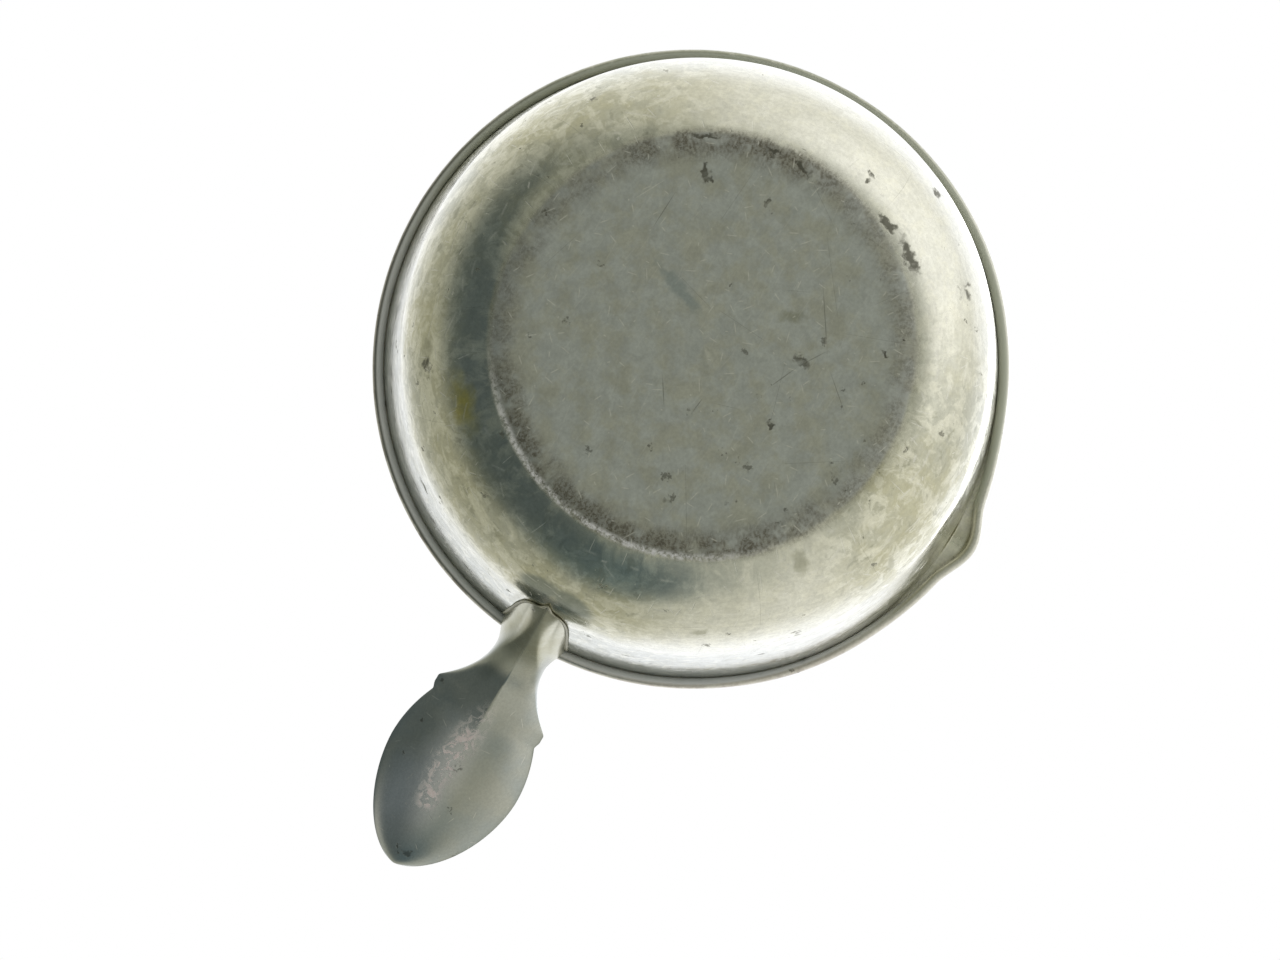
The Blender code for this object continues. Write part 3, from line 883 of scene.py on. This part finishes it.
HAIRLINES = (
    (-19.1, -10.5, -7.3, -18.6, 0.11),
    (-7.3, -18.6, -1.6, -25.4, 0.09),
    (-19.8, 16.2, -10.4, 16.5, 0.10),
    (7.1, 3.4, 12.1, 0.1, 0.12),
    (6.8, -4.3, 10.7, -3.9, 0.11),
    (1.2, -12.1, -5.0, -14.8, 0.12),
    (-5.0, -14.8, -9.5, -17.6, 0.10),
)
PALE_LINES = (
    (-13.8, 21.5, -19.8, 18.4, 0.12),
)
# Painted shade on the sides of the handle's neck
NECK_SHADE_MARKS = (
    (58.0, 1.6, 71.0, 4.2, 3.4),
    (61.5, -4.8, 68.0, -4.6, 2.0),
)
RUBBED_GRIP = (
    (79.0, 1.4, 108.0, 4.4, 7.5),
    (92.0, 5.0, 106.0, 7.0, 8.0),
)
# Painted dark reflection of the handle's neck on the wall beside its root
NECK_REFLECTION_MARKS = (
    (47.6, 5.8, 46.9, 0.0, 2.0),
    (46.9, 0.0, 47.4, -6.4, 2.0),
)
# Painted shadow in a band round the handle's root
ROOT_SHADOW_MARKS = (
    (54.5, 7.0, 50.1, 4.4, 1.1),
    (50.1, 4.4, 49.2, 1.0, 1.1),
    (49.2, 1.0, 50.0, -2.3, 1.1),
    (50.0, -2.3, 53.5, -5.4, 1.1),
)
SCUFFS = (
    (76.0, 0.2, 98.0, 2.4, 3.8),
    (83.2, 0.2, 86.8, 1.0, 3.2),
    (95.0, 1.0, 97.5, 1.6, 2.6),
)

# Groups of marks, real stains and rubbing as well as painted shade and reflections: lines, scale and reach
# of their ragged edge, solid core, colour, strength
BOWL_STAINS_AND_SHADE = (
    # painted dark reflection of the handle's neck
    (NECK_REFLECTION_MARKS, 300, 0.001, 0.5, NECK_REFLECTION_DARK, 0.80),
    # painted shadow round the handle's root
    (ROOT_SHADOW_MARKS, 300, 0.001, 0.2, OLIVE_STAIN_AND_SHADE, 0.60),
    (YELLOW_MARKS, 350, 0.005, 0.0, YELLOW_TARNISH, 0.9),
    (SMEARS, 500, 0.003, 0.3, SLATE_TARNISH_AND_SHADE, 0.7),
    (STAINS, 500, 0.003, 0.3, OLIVE_STAIN_AND_SHADE, 0.5),
)
HANDLE_RUBBING_AND_SHADE = (
    # painted shade on the handle's neck
    (NECK_SHADE_MARKS, 200, 0.003, 0.2, NECK_SHADE_DARK, 0.7),
    (RUBBED_GRIP, 120, 0.003, 0.1, RUBBED, 0.85),
)


def round_place(nodes):
    """The radius, azimuth and height of the place."""
    sides = nodes.add("SeparateXYZ", {"Vector": nodes.place}).outputs
    azimuth = nodes.calc("ARCTAN2", sides[1], sides[0])
    return nodes.vector("LENGTH", nodes.flat_place()), azimuth, sides[2]


def wrapped(nodes, azimuth, wrap, second, third=0):
    """Pattern place with the azimuth times the wrap radius as its first side."""
    return nodes.add_place(nodes.product(azimuth, wrap), second, third)


def flat_pattern(nodes):
    """Flat place in metres: x, y on the base and floor, rim length and height on the wall."""
    radius, azimuth, height = round_place(nodes)
    is_wall = nodes.calc("GREATER_THAN", radius, FOOT_RADIUS)
    wall = wrapped(nodes, azimuth, FLAT_WRAP, height)
    return nodes.mix_place(is_wall, nodes.flat_place(), wall)


def marks(nodes, place, lines, core):
    """Marks along lines, solid inside a core share of their width and soft round it."""
    shares = []
    for x1, y1, x2, y2, half_width in lines:
        half_length = math.hypot(x2 - x1, y2 - y1) / 2 + half_width
        inputs = {
            "Vector": place,
            "Location": ((x1 + x2) / 2000, (y1 + y2) / 2000, 0),
            "Rotation": (0, 0, math.atan2(y2 - y1, x2 - x1)),
            "Scale": (half_length / 1000, half_width / 1000, 1),
        }
        local = nodes.add("Mapping", inputs, vector_type="TEXTURE").outputs[0]
        shares.append(nodes.fade(nodes.vector("LENGTH", local), 1.0, core))
    return nodes.highest(*shares)


def stained_and_shaded(nodes, colour, from_below, groups):
    """The colour with groups of ragged marks over it: real stains and rubbing as well as painted shade and
    painted reflections.
    """
    for lines, scale, reach, core, paint, strength in groups:
        share = marks(nodes, nodes.ragged(from_below, scale, reach), lines, core)
        colour = nodes.tint(colour, (paint, share, strength))
    return colour


def facing(nodes, azimuth, near, far):
    """1 within near degrees of an azimuth round the bowl, 0 beyond far degrees."""
    sideways = nodes.vector("NORMALIZE", nodes.flat_place())
    turn = math.radians(azimuth)
    towards = nodes.vector("DOT_PRODUCT", sideways, (math.cos(turn), math.sin(turn), 0))
    return nodes.fade(towards, math.cos(math.radians(far)), math.cos(math.radians(near)))


def band(nodes, radius, starts, full, fades, ends):
    """1 on a ring between two radii, with soft edges."""
    return nodes.product(nodes.fade(radius, starts, full), nodes.fade(radius, ends, fades))


def wall_colour(nodes, mottle, flakes, bend):
    """Warm and cool pewter with pale flakes and chips, painted lighter towards two sides, with painted shade
    on the upper wall on the handle's side and a painted highlight at the flange's bend.
    """
    _, azimuth, height = round_place(nodes)
    clouds = nodes.noise(scale=55, detail=3, roughness=0.55)
    warm = nodes.fade(nodes.total(clouds, nodes.product(mottle, 0.5)), 0.55, 0.95)
    # painted light on two sides of the wall
    gleam = nodes.product(facing(nodes, *GLEAMING_SIDE), 0.8)
    # painted shade: the upper wall on the handle's side is painted darker from mid height up to the rim
    by_root = nodes.product(nodes.fade(height, 0.012, 0.024), facing(nodes, *SHADED_WALL_SIDE))
    colour = nodes.tint(
        nodes.mix(warm, COOL_PEWTER, WARM_PEWTER),
        (PALE_FLAKE, nodes.fade(flakes, 0.48, 0.60), 0.55),
        (OLIVE_STAIN_AND_SHADE, nodes.fade(mottle, 0.42, 0.32), 0.45),
        # painted light towards two sides
        (BRIGHT_PEWTER, nodes.highest(facing(nodes, *LIT_WALL_SIDE), gleam), 0.75),
        # painted shade on the upper wall
        (SLATE_TARNISH_AND_SHADE, by_root, 0.5),
        # painted highlight at the flange's bend
        (BEND_HIGHLIGHT, bend, 1.0),
    )
    drawn_out = wrapped(nodes, azimuth, STREAK_WRAP, height)
    streaks = nodes.noise(scale=1500, roughness=0.65, place=drawn_out)
    colour = nodes.dim(colour, nodes.spread(streaks, 0.94, 1.05))
    chips = nodes.noise(scale=430, detail=5, roughness=0.62, distortion=0.5)
    return nodes.tint(colour, (PALE_FLAKE, nodes.fade(chips, 0.51, 0.61), 0.42))


def base_colour(nodes, mottle):
    """Blue-grey and olive pewter in clouds."""
    clouds = nodes.noise(scale=190)
    colour = nodes.mix(nodes.fade(clouds, 0.40, 0.64), BASE_PEWTER, OLIVE_PEWTER)
    return nodes.dim(colour, nodes.spread(mottle, 0.91, 1.07))


def outside_looks(nodes):
    """Wall and base with a dusty ring between them, stains, pits and scratches, a pale line along part of
    the foot's edge, painted dark reflections on the wall near the foot and of the handle's neck, and a
    painted shadow round the handle's root.
    """
    flat = flat_pattern(nodes)
    from_below = nodes.flat_place()
    radius, azimuth, height = round_place(nodes)
    is_base = nodes.fade(radius, FOOT_RADIUS + 0.0006, FOOT_RADIUS - 0.0004)
    # where the wall bends into the flange: a painted highlight there and rougher metal
    bend = nodes.fade(height, FLANGE_UNDERSIDE - 0.0012, FLANGE_UNDERSIDE - 0.0005)
    round_wall = wrapped(nodes, azimuth, FLAKE_WRAP, height)
    mottle = nodes.noise(scale=330, distortion=0.6)
    grain = nodes.noise(scale=1700, detail=3)
    flakes = nodes.noise(scale=340, detail=5, roughness=0.62, distortion=0.8, place=round_wall)
    wall = wall_colour(nodes, mottle, flakes, bend)
    colour = nodes.mix(is_base, wall, base_colour(nodes, mottle))

    dusty = nodes.highest(facing(nodes, *DUSTY_SIDE), facing(nodes, *DUSTY_FAR_SIDE))
    dust = nodes.noise(scale=260, roughness=0.65)
    ring = band(nodes, radius, *DUST_RING)
    ring = nodes.product(ring, nodes.blend(dusty, 0.55, 1.0), nodes.fade(dust, 0.26, 0.56))
    speckle = nodes.fade(nodes.noise(scale=2100, roughness=0.75), 0.40, 0.62)
    flecks = nodes.product(ring, speckle, nodes.fade(dust, 0.45, 0.65))
    # painted dark reflection in a band just outside the foot on the handle's side
    dark_reflection = nodes.product(band(nodes, radius, *DARK_REFLECTION_RING), facing(nodes, *DARK_REFLECTION_SIDE))
    # a pale broken line along the foot's edge on the handle's side
    edge_line_grain = nodes.fade(nodes.noise(scale=1100, roughness=0.8), 0.36, 0.60)
    pale_edge_line = nodes.product(band(nodes, radius, *EDGE_LINE_RING), facing(nodes, *EDGE_LINE_SIDE), edge_line_grain)
    colour = nodes.tint(
        colour,
        (BROWN_GREY, ring, nodes.fade(speckle, 0.0, 1.0, 0.55, 1.0)),
        (OXIDE, flecks, 0.35),
        (SLATE_TARNISH_AND_SHADE, nodes.product(dark_reflection, nodes.fade(flakes, 0.70, 0.45)), 0.6),
        (EDGE_LINE_WHITE, pale_edge_line, 1.0),
    )
    # stains, with the painted reflection of the neck and the painted shadow round the root
    colour = stained_and_shaded(nodes, colour, from_below, BOWL_STAINS_AND_SHADE)

    oxide = marks(nodes, nodes.ragged(from_below, scale=800, reach=0.0032), OXIDE_MARKS, core=0.45)
    oxide = nodes.product(oxide, nodes.fade(mottle, 0.32, 0.48, 0.45, 1.0), 0.85)
    pits = nodes.product(nodes.spots(size=0.0026, share=0.10), 0.6)
    freckles = nodes.product(nodes.spots(size=0.0062, share=0.16), 0.8)
    freckles = nodes.product(freckles, nodes.fade(mottle, 0.35, 0.6))
    dark = nodes.highest(oxide, pits, freckles)
    colour = nodes.mix(dark, colour, OXIDE)

    nicks = nodes.scratches(flat, cell=0.0027, length=0.0026, width=0.00015, share=0.5)
    rubs = nodes.scratches(flat, cell=0.0035, length=0.007, width=0.00016, share=0.8, turn=0.5, lean=-0.25)
    rubs = nodes.product(rubs, nodes.blend(is_base, 0.6, 0.25))
    scored = nodes.highest(nicks, rubs, marks(nodes, from_below, PALE_LINES, core=0.3))
    hairs = nodes.scratches(flat, cell=0.011, length=0.020, width=0.00006, share=0.6)
    hairs = nodes.highest(nodes.product(hairs, 0.7), marks(nodes, from_below, HAIRLINES, core=0.2))
    colour = nodes.tint(colour, (SCUFFED, scored, 0.60), (OXIDE, hairs, 0.5))
    colour = nodes.dim(colour, nodes.spread(grain, 0.94, 1.06))

    worn = nodes.spread(nodes.noise(scale=210, detail=3, roughness=0.55), 0.36, 0.46)
    roughness = nodes.blend(is_base, nodes.spread(mottle, 0.10, 0.20), worn)
    for share, rough in ((nodes.highest(dark, ring), 0.58), (scored, 0.34), (pale_edge_line, 0.85), (bend, 0.80)):
        roughness = nodes.blend(share, roughness, rough)
    specks = nodes.product(ring, speckle)
    relief = ((mottle, 12), (grain, 4), (dark, -20), (specks, -10), (scored, -8), (hairs, -10))
    return colour, roughness, relief


def inside_looks(nodes):
    """Cleaner pewter with turning marks, knife cuts and a stain on the floor."""
    flat = flat_pattern(nodes)
    radius, _, _ = round_place(nodes)
    clouds = nodes.noise(scale=60, detail=3, roughness=0.55)
    mottle = nodes.noise(scale=300, distortion=0.6)
    grain = nodes.noise(scale=1700, detail=3)
    turned = nodes.noise(scale=1500, detail=3, roughness=0.7, place=nodes.add_place(radius, 0, 0))
    colour = nodes.mix(nodes.fade(clouds, 0.35, 0.65), COOL_PEWTER, WARM_PEWTER)
    floor_stain = nodes.fade(nodes.total(radius, nodes.product(clouds, 0.02)), 0.052, 0.024)
    rings = nodes.product(nodes.fade(turned, 0.52, 0.62), nodes.fade(radius, 0.056, 0.05))
    pits = nodes.spots(size=0.0036, share=0.2)
    nicks = nodes.scratches(flat, cell=0.0052, length=0.005, width=0.00010, share=0.5)
    cuts = nodes.scratches(flat, cell=0.012, length=0.024, width=0.00007, share=0.6)
    scored = nodes.highest(nicks, cuts)
    colour = nodes.tint(
        colour,
        (BRIGHT_PEWTER, nodes.fade(mottle, 0.45, 0.62), 0.4),
        (BROWN_TARNISH, floor_stain, 0.45),
        (OXIDE, pits, 0.7),
        (COOL_PEWTER, rings, 0.25),
        (BRIGHT_PEWTER, scored, 0.5),
    )
    colour = nodes.dim(colour, nodes.spread(grain, 0.93, 1.07))
    roughness = nodes.spread(mottle, 0.27, 0.40)
    roughness = nodes.blend(nodes.product(floor_stain, 0.6), roughness, 0.50)
    return colour, roughness, ((mottle, 12), (grain, 4), (turned, 4), (pits, -20), (scored, -8))


def wire_looks(nodes):
    """Rubbed wire with a painted highlight along its inner side, painted shade towards one side and painted
    light towards another.
    """
    radius, azimuth, height = round_place(nodes)
    mottle = nodes.noise(scale=420)
    grain = nodes.noise(scale=2200, detail=3)
    brown = facing(nodes, *BROWN_SIDE)
    colour = nodes.mix(brown, WIRE_OLIVE, WIRE_BROWN)
    along = wrapped(nodes, azimuth, RUB_WRAP, radius, height)
    rubbed = nodes.fade(nodes.noise(scale=900, roughness=0.65, place=along), 0.42, 0.54)
    edge = nodes.product(nodes.fade(radius, RIM_RADIUS - 0.0007, RIM_RADIUS - 0.0003), rubbed)
    edge = nodes.product(edge, nodes.blend(facing(nodes, *EDGE_SIDE), 0.35, 0.85))
    colour = nodes.tint(
        colour,
        (WIRE_SHEEN, nodes.fade(mottle, 0.50, 0.68), 0.5),
        # painted shade and painted light on two sides of the wire
        (BROWN_GREY, facing(nodes, *SHADED_WIRE_SIDE), 0.6),
        (BRIGHT_PEWTER, facing(nodes, *LIT_WIRE_SIDE), 0.55),
        (WIRE_EDGE, edge, 1.0),
        (OXIDE, nodes.spots(size=0.0020, share=0.16), 0.7),
    )
    colour = nodes.dim(colour, nodes.spread(grain, 0.93, 1.07))
    # painted highlight: a pale band along the wire's inner side
    inner_highlight = nodes.fade(radius, RIM_RADIUS - 0.0007, RIM_RADIUS - 0.0012)
    colour = nodes.mix(inner_highlight, colour, nodes.mix(brown, INNER_HIGHLIGHT_GREY, INNER_HIGHLIGHT_WHITE))
    roughness = nodes.blend(edge, nodes.spread(mottle, 0.26, 0.40), 0.5)
    return colour, nodes.blend(inner_highlight, roughness, 0.8), ((mottle, 20), (grain, 5))


def handle_looks(nodes):
    """Smooth cast pewter, olive at the root and blue-grey on a rubbed and scuffed grip, with painted shade
    on the sides of the neck.
    """
    outwards = nodes.add("SeparateXYZ", {"Vector": nodes.place}).outputs["X"]
    flat = nodes.flat_place()
    clouds = nodes.noise(scale=90, detail=3, roughness=0.55)
    mottle = nodes.noise(scale=380, distortion=0.5)
    grain = nodes.noise(scale=2000, detail=3)
    grip = nodes.mix(nodes.fade(clouds, 0.35, 0.65), GRIP_BLUE, GRIP_OLIVE)
    root = nodes.mix(nodes.fade(mottle, 0.35, 0.65), ROOT_DARK, ROOT_PALE)
    colour = nodes.mix(nodes.fade(outwards, RIM_RADIUS - 0.003, RIM_RADIUS + 0.007), root, grip)
    # real rubbing on the grip and painted shade on the neck
    colour = stained_and_shaded(nodes, colour, flat, HANDLE_RUBBING_AND_SHADE)
    scuffed = marks(nodes, nodes.ragged(flat, scale=300, reach=0.002), SCUFFS, core=0.3)
    scuff_grain = nodes.noise(scale=480, detail=5, roughness=0.75, distortion=1.2)
    scuffed = nodes.product(scuffed, nodes.fade(scuff_grain, 0.45, 0.56))
    nicks = nodes.scratches(flat, cell=0.0034, length=0.0030, width=0.00010, share=0.45)
    nicks = nodes.product(nicks, nodes.fade(outwards, RIM_RADIUS + 0.008, RIM_RADIUS + 0.014))
    pits = nodes.spots(size=0.0040, share=0.20)
    colour = nodes.tint(colour, (PINK_SCUFF, scuffed, 0.95), (NICKED, nicks, 0.6), (OXIDE, pits, 0.6))
    colour = nodes.dim(colour, nodes.spread(grain, 0.95, 1.05))
    by_root = nodes.fade(outwards, RIM_RADIUS + 0.006, RIM_RADIUS - 0.002)
    roughness = nodes.blend(by_root, nodes.spread(mottle, 0.18, 0.24), 0.28)
    roughness = nodes.blend(scuffed, roughness, 0.80)
    relief = ((clouds, 30), (mottle, 5), (grain, 2), (pits, -20), (scuffed, 12), (nicks, -10))
    return colour, roughness, relief


def solder_looks(nodes):
    mottle = nodes.noise(scale=800)
    colour = nodes.mix(nodes.fade(mottle, 0.35, 0.65), SOLDER_DARK, SOLDER_PALE)
    return colour, nodes.spread(mottle, 0.40, 0.60), ((mottle, 30),)


def floor_material():
    """Plain pale floor, which shows only from above."""
    material, nodes = new_material("floor")
    pale = nodes.add("BsdfDiffuse", {"Color": PALE_FLOOR})
    clear = nodes.add("BsdfTransparent")
    from_below = nodes.add("NewGeometry").outputs["Backfacing"]
    inputs = {0: from_below, 1: pale.outputs[0], 2: clear.outputs[0]}
    mixed = nodes.add("MixShader", inputs)
    nodes.add("OutputMaterial", {"Surface": mixed.outputs[0]})
    return material


def image_direction(image_angle, from_below):
    """A direction by its image angle, clockwise from +x, and its angle from straight down."""
    turn = math.radians(image_angle) - HANDLE_IMAGE_ANGLE
    slant = math.radians(from_below)
    return (math.sin(slant) * math.cos(turn), math.sin(slant) * math.sin(turn), -math.cos(slant))


OPEN_SURROUNDINGS = (0.86, 0.85, 0.77, 1)

# Soft patches: image angle, angle from straight down, reach and softness in degrees, colour
SURROUNDINGS = (
    (313, 174, 63, 41, (1.25, 1.26, 1.29, 1)),
    (165, 54, 78, 80, (0.45, 0.45, 0.37, 1)),
    (333, 66, 29, 27, (1.06, 1.05, 0.98, 1)),
    (332, 21, 29, 30, (0.35, 0.36, 0.30, 1)),
    (116, 57, 17, 28, (0.14, 0.18, 0.18, 1)),
    (162, 50, 25, 33, (0.12, 0.14, 0.13, 1)),
    (209, 53, 26, 37, (0.13, 0.15, 0.14, 1)),
    (245, 39, 13, 25, (0.33, 0.34, 0.29, 1)),
)


def build_world():
    world = bpy.data.worlds.new("soft_studio")
    world.use_nodes = True
    bpy.context.scene.world = world
    nodes = Nodes(world.node_tree)
    direction = nodes.vector("NORMALIZE", nodes.add("TexCoord").outputs["Generated"])
    colour = OPEN_SURROUNDINGS
    for image_angle, from_below, reach, softness, patch in SURROUNDINGS:
        towards = nodes.vector("DOT_PRODUCT", direction, image_direction(image_angle, from_below))
        outer = math.cos(math.radians(reach + softness / 2))
        inner = math.cos(math.radians(max(reach - softness / 2, 0)))
        colour = nodes.mix(nodes.fade(towards, outer, inner), colour, patch)
    seen = nodes.add("LightPath").outputs["Is Camera Ray"]
    colour = nodes.mix(seen, colour, (1, 1, 1, 1))
    background = nodes.add("Background", {"Color": colour})
    nodes.add("OutputWorld", {"Surface": background.outputs[0]})


def build_floor():
    size = 1.5
    corners = [(-size, -size, 0), (size, -size, 0), (size, size, 0), (-size, size, 0)]
    floor = add_mesh("floor", corners, [(0, 1, 2, 3)])
    floor.data.materials.append(floor_material())
    floor.visible_diffuse = False
    floor.visible_glossy = False
    floor.visible_shadow = False


def build_lamp():
    lamp = bpy.data.lights.new("softbox", "AREA")
    lamp.shape = "DISK"
    lamp.size = 0.7
    lamp.energy = 1.6
    thing = bpy.data.objects.new("softbox", lamp)
    thing.location = (-0.35, -0.45, 0.9)
    thing.rotation_euler = (math.radians(32), 0, math.radians(-38))
    bpy.context.scene.collection.objects.link(thing)


def build_camera():
    camera = bpy.data.cameras.new("camera")
    camera.sensor_width = 36
    camera.lens = FOCAL_PIXELS / IMAGE_WIDTH * camera.sensor_width
    camera.clip_start = 0.001
    thing = bpy.data.objects.new("camera", camera)
    bpy.context.scene.collection.objects.link(thing)
    right = (math.cos(HANDLE_IMAGE_ANGLE), -math.sin(HANDLE_IMAGE_ANGLE), 0)
    up = (-math.sin(HANDLE_IMAGE_ANGLE), -math.cos(HANDLE_IMAGE_ANGLE), 0)
    back = (0, 0, -1)
    rows = [*zip(right, up, back, CAMERA_PLACE), (0, 0, 0, 1)]
    thing.matrix_world = Matrix(rows)
    bpy.context.scene.camera = thing


def build_bowl():
    bowl, slots = bowl_mesh("bowl")
    outside = metal("spun_pewter_outside", outside_looks)
    shade(bowl, outside, metal("spun_pewter_inside", inside_looks))
    bowl.data.polygons.foreach_set("material_index", slots)
    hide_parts("bowl_body")
    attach(bowl, "root")


def build_wire():
    wire = wire_mesh("rim_bead")
    shade(wire, metal("wire_pewter", wire_looks))
    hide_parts("rim_wire")
    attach(wire, "root")


def build_handle():
    grip = handle_mesh("side_handle")
    fit_to_bowl(grip)
    shade(grip, metal("cast_pewter", handle_looks))
    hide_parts("handle")
    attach(grip, "root")
    bead = solder_mesh("solder_bead")
    shade(bead, metal("solder", solder_looks))
    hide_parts("handle_solder")
    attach(bead, "root")


build_world()
build_floor()
build_lamp()
build_camera()
build_bowl()
build_wire()
build_handle()
bpy.context.scene.view_settings.view_transform = "Standard"
